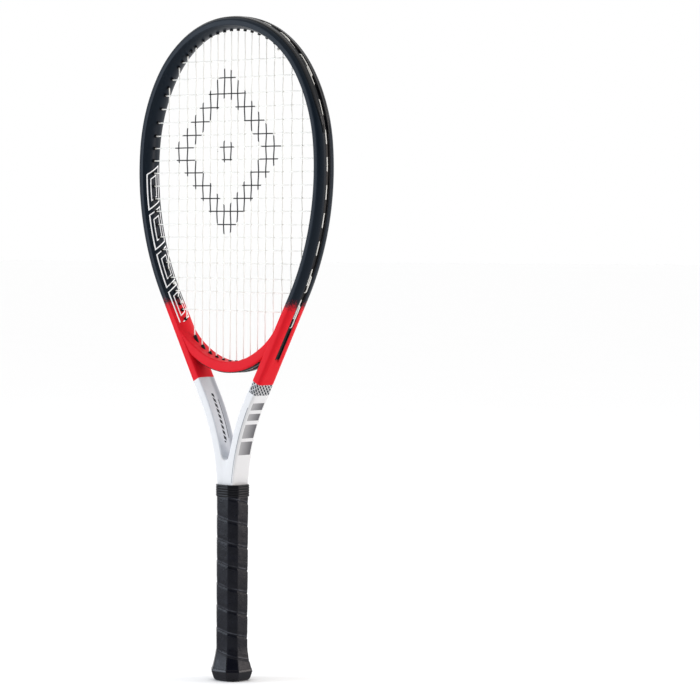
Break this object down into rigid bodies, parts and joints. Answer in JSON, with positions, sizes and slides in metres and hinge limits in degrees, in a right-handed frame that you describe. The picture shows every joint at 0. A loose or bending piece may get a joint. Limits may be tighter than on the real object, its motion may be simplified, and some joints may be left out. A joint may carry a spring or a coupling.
{
  "type": "strung tennis racket",
  "caption": "Strung tennis racket: oval hoop with a hollow tube frame, open V throat, woven string bed and a wrapped octagonal handle.",
  "frame": {"origin": "centre of the butt cap's end face", "axes": "+Z along the handle to the crown of the hoop, X across the hoop, Y across the beam; the string bed lies in Y = 0"},
  "size_m": [0.2614, 0.0384, 0.6858],
  "materials": {
    "frame_lacquer": "gloss",
    "red_lacquer": "gloss",
    "black_nylon": "satin",
    "guard_nylon": "gloss",
    "string": "satin",
    "core_foam": "matte",
    "plug_foam": "matte",
    "cap_plastic": "gloss",
    "door_plastic": "satin",
    "staple_steel": "satin",
    "grip_leather": "satin",
    "tape": "gloss",
    "collar_rubber": "satin"
  },
  "bodies": {
    "racket": {"frame_tube": "frame_lacquer", "throat_bridge": "red_lacquer", "bumper_guard": "guard_nylon", "grommet_strip_left": "black_nylon", "grommet_strip_right": "black_nylon", "bridge_grommets": "black_nylon", "main_string": "string", "cross_string": "string", "string_knots": "string", "handle_front": "core_foam", "handle_rear": "core_foam", "handle_plugs": "plug_foam", "butt_cap": "cap_plastic", "cap_staples": "staple_steel", "grip_wrap": "grip_leather", "finishing_tape": "tape"},
    "trap_door": {"trap_door": "door_plastic"},
    "collar": {"collar": "collar_rubber"}
  },
  "joints": [
    {"name": "collar_slide", "type": "slide", "parent": "racket", "child": "collar", "axis": [0, 0, 1], "range_m": [0, 0.01]},
    {"name": "trap_door_pull", "type": "slide", "parent": "racket", "child": "trap_door", "axis": [0, 0, -1], "range_m": [0, 0.014]}
  ]
}
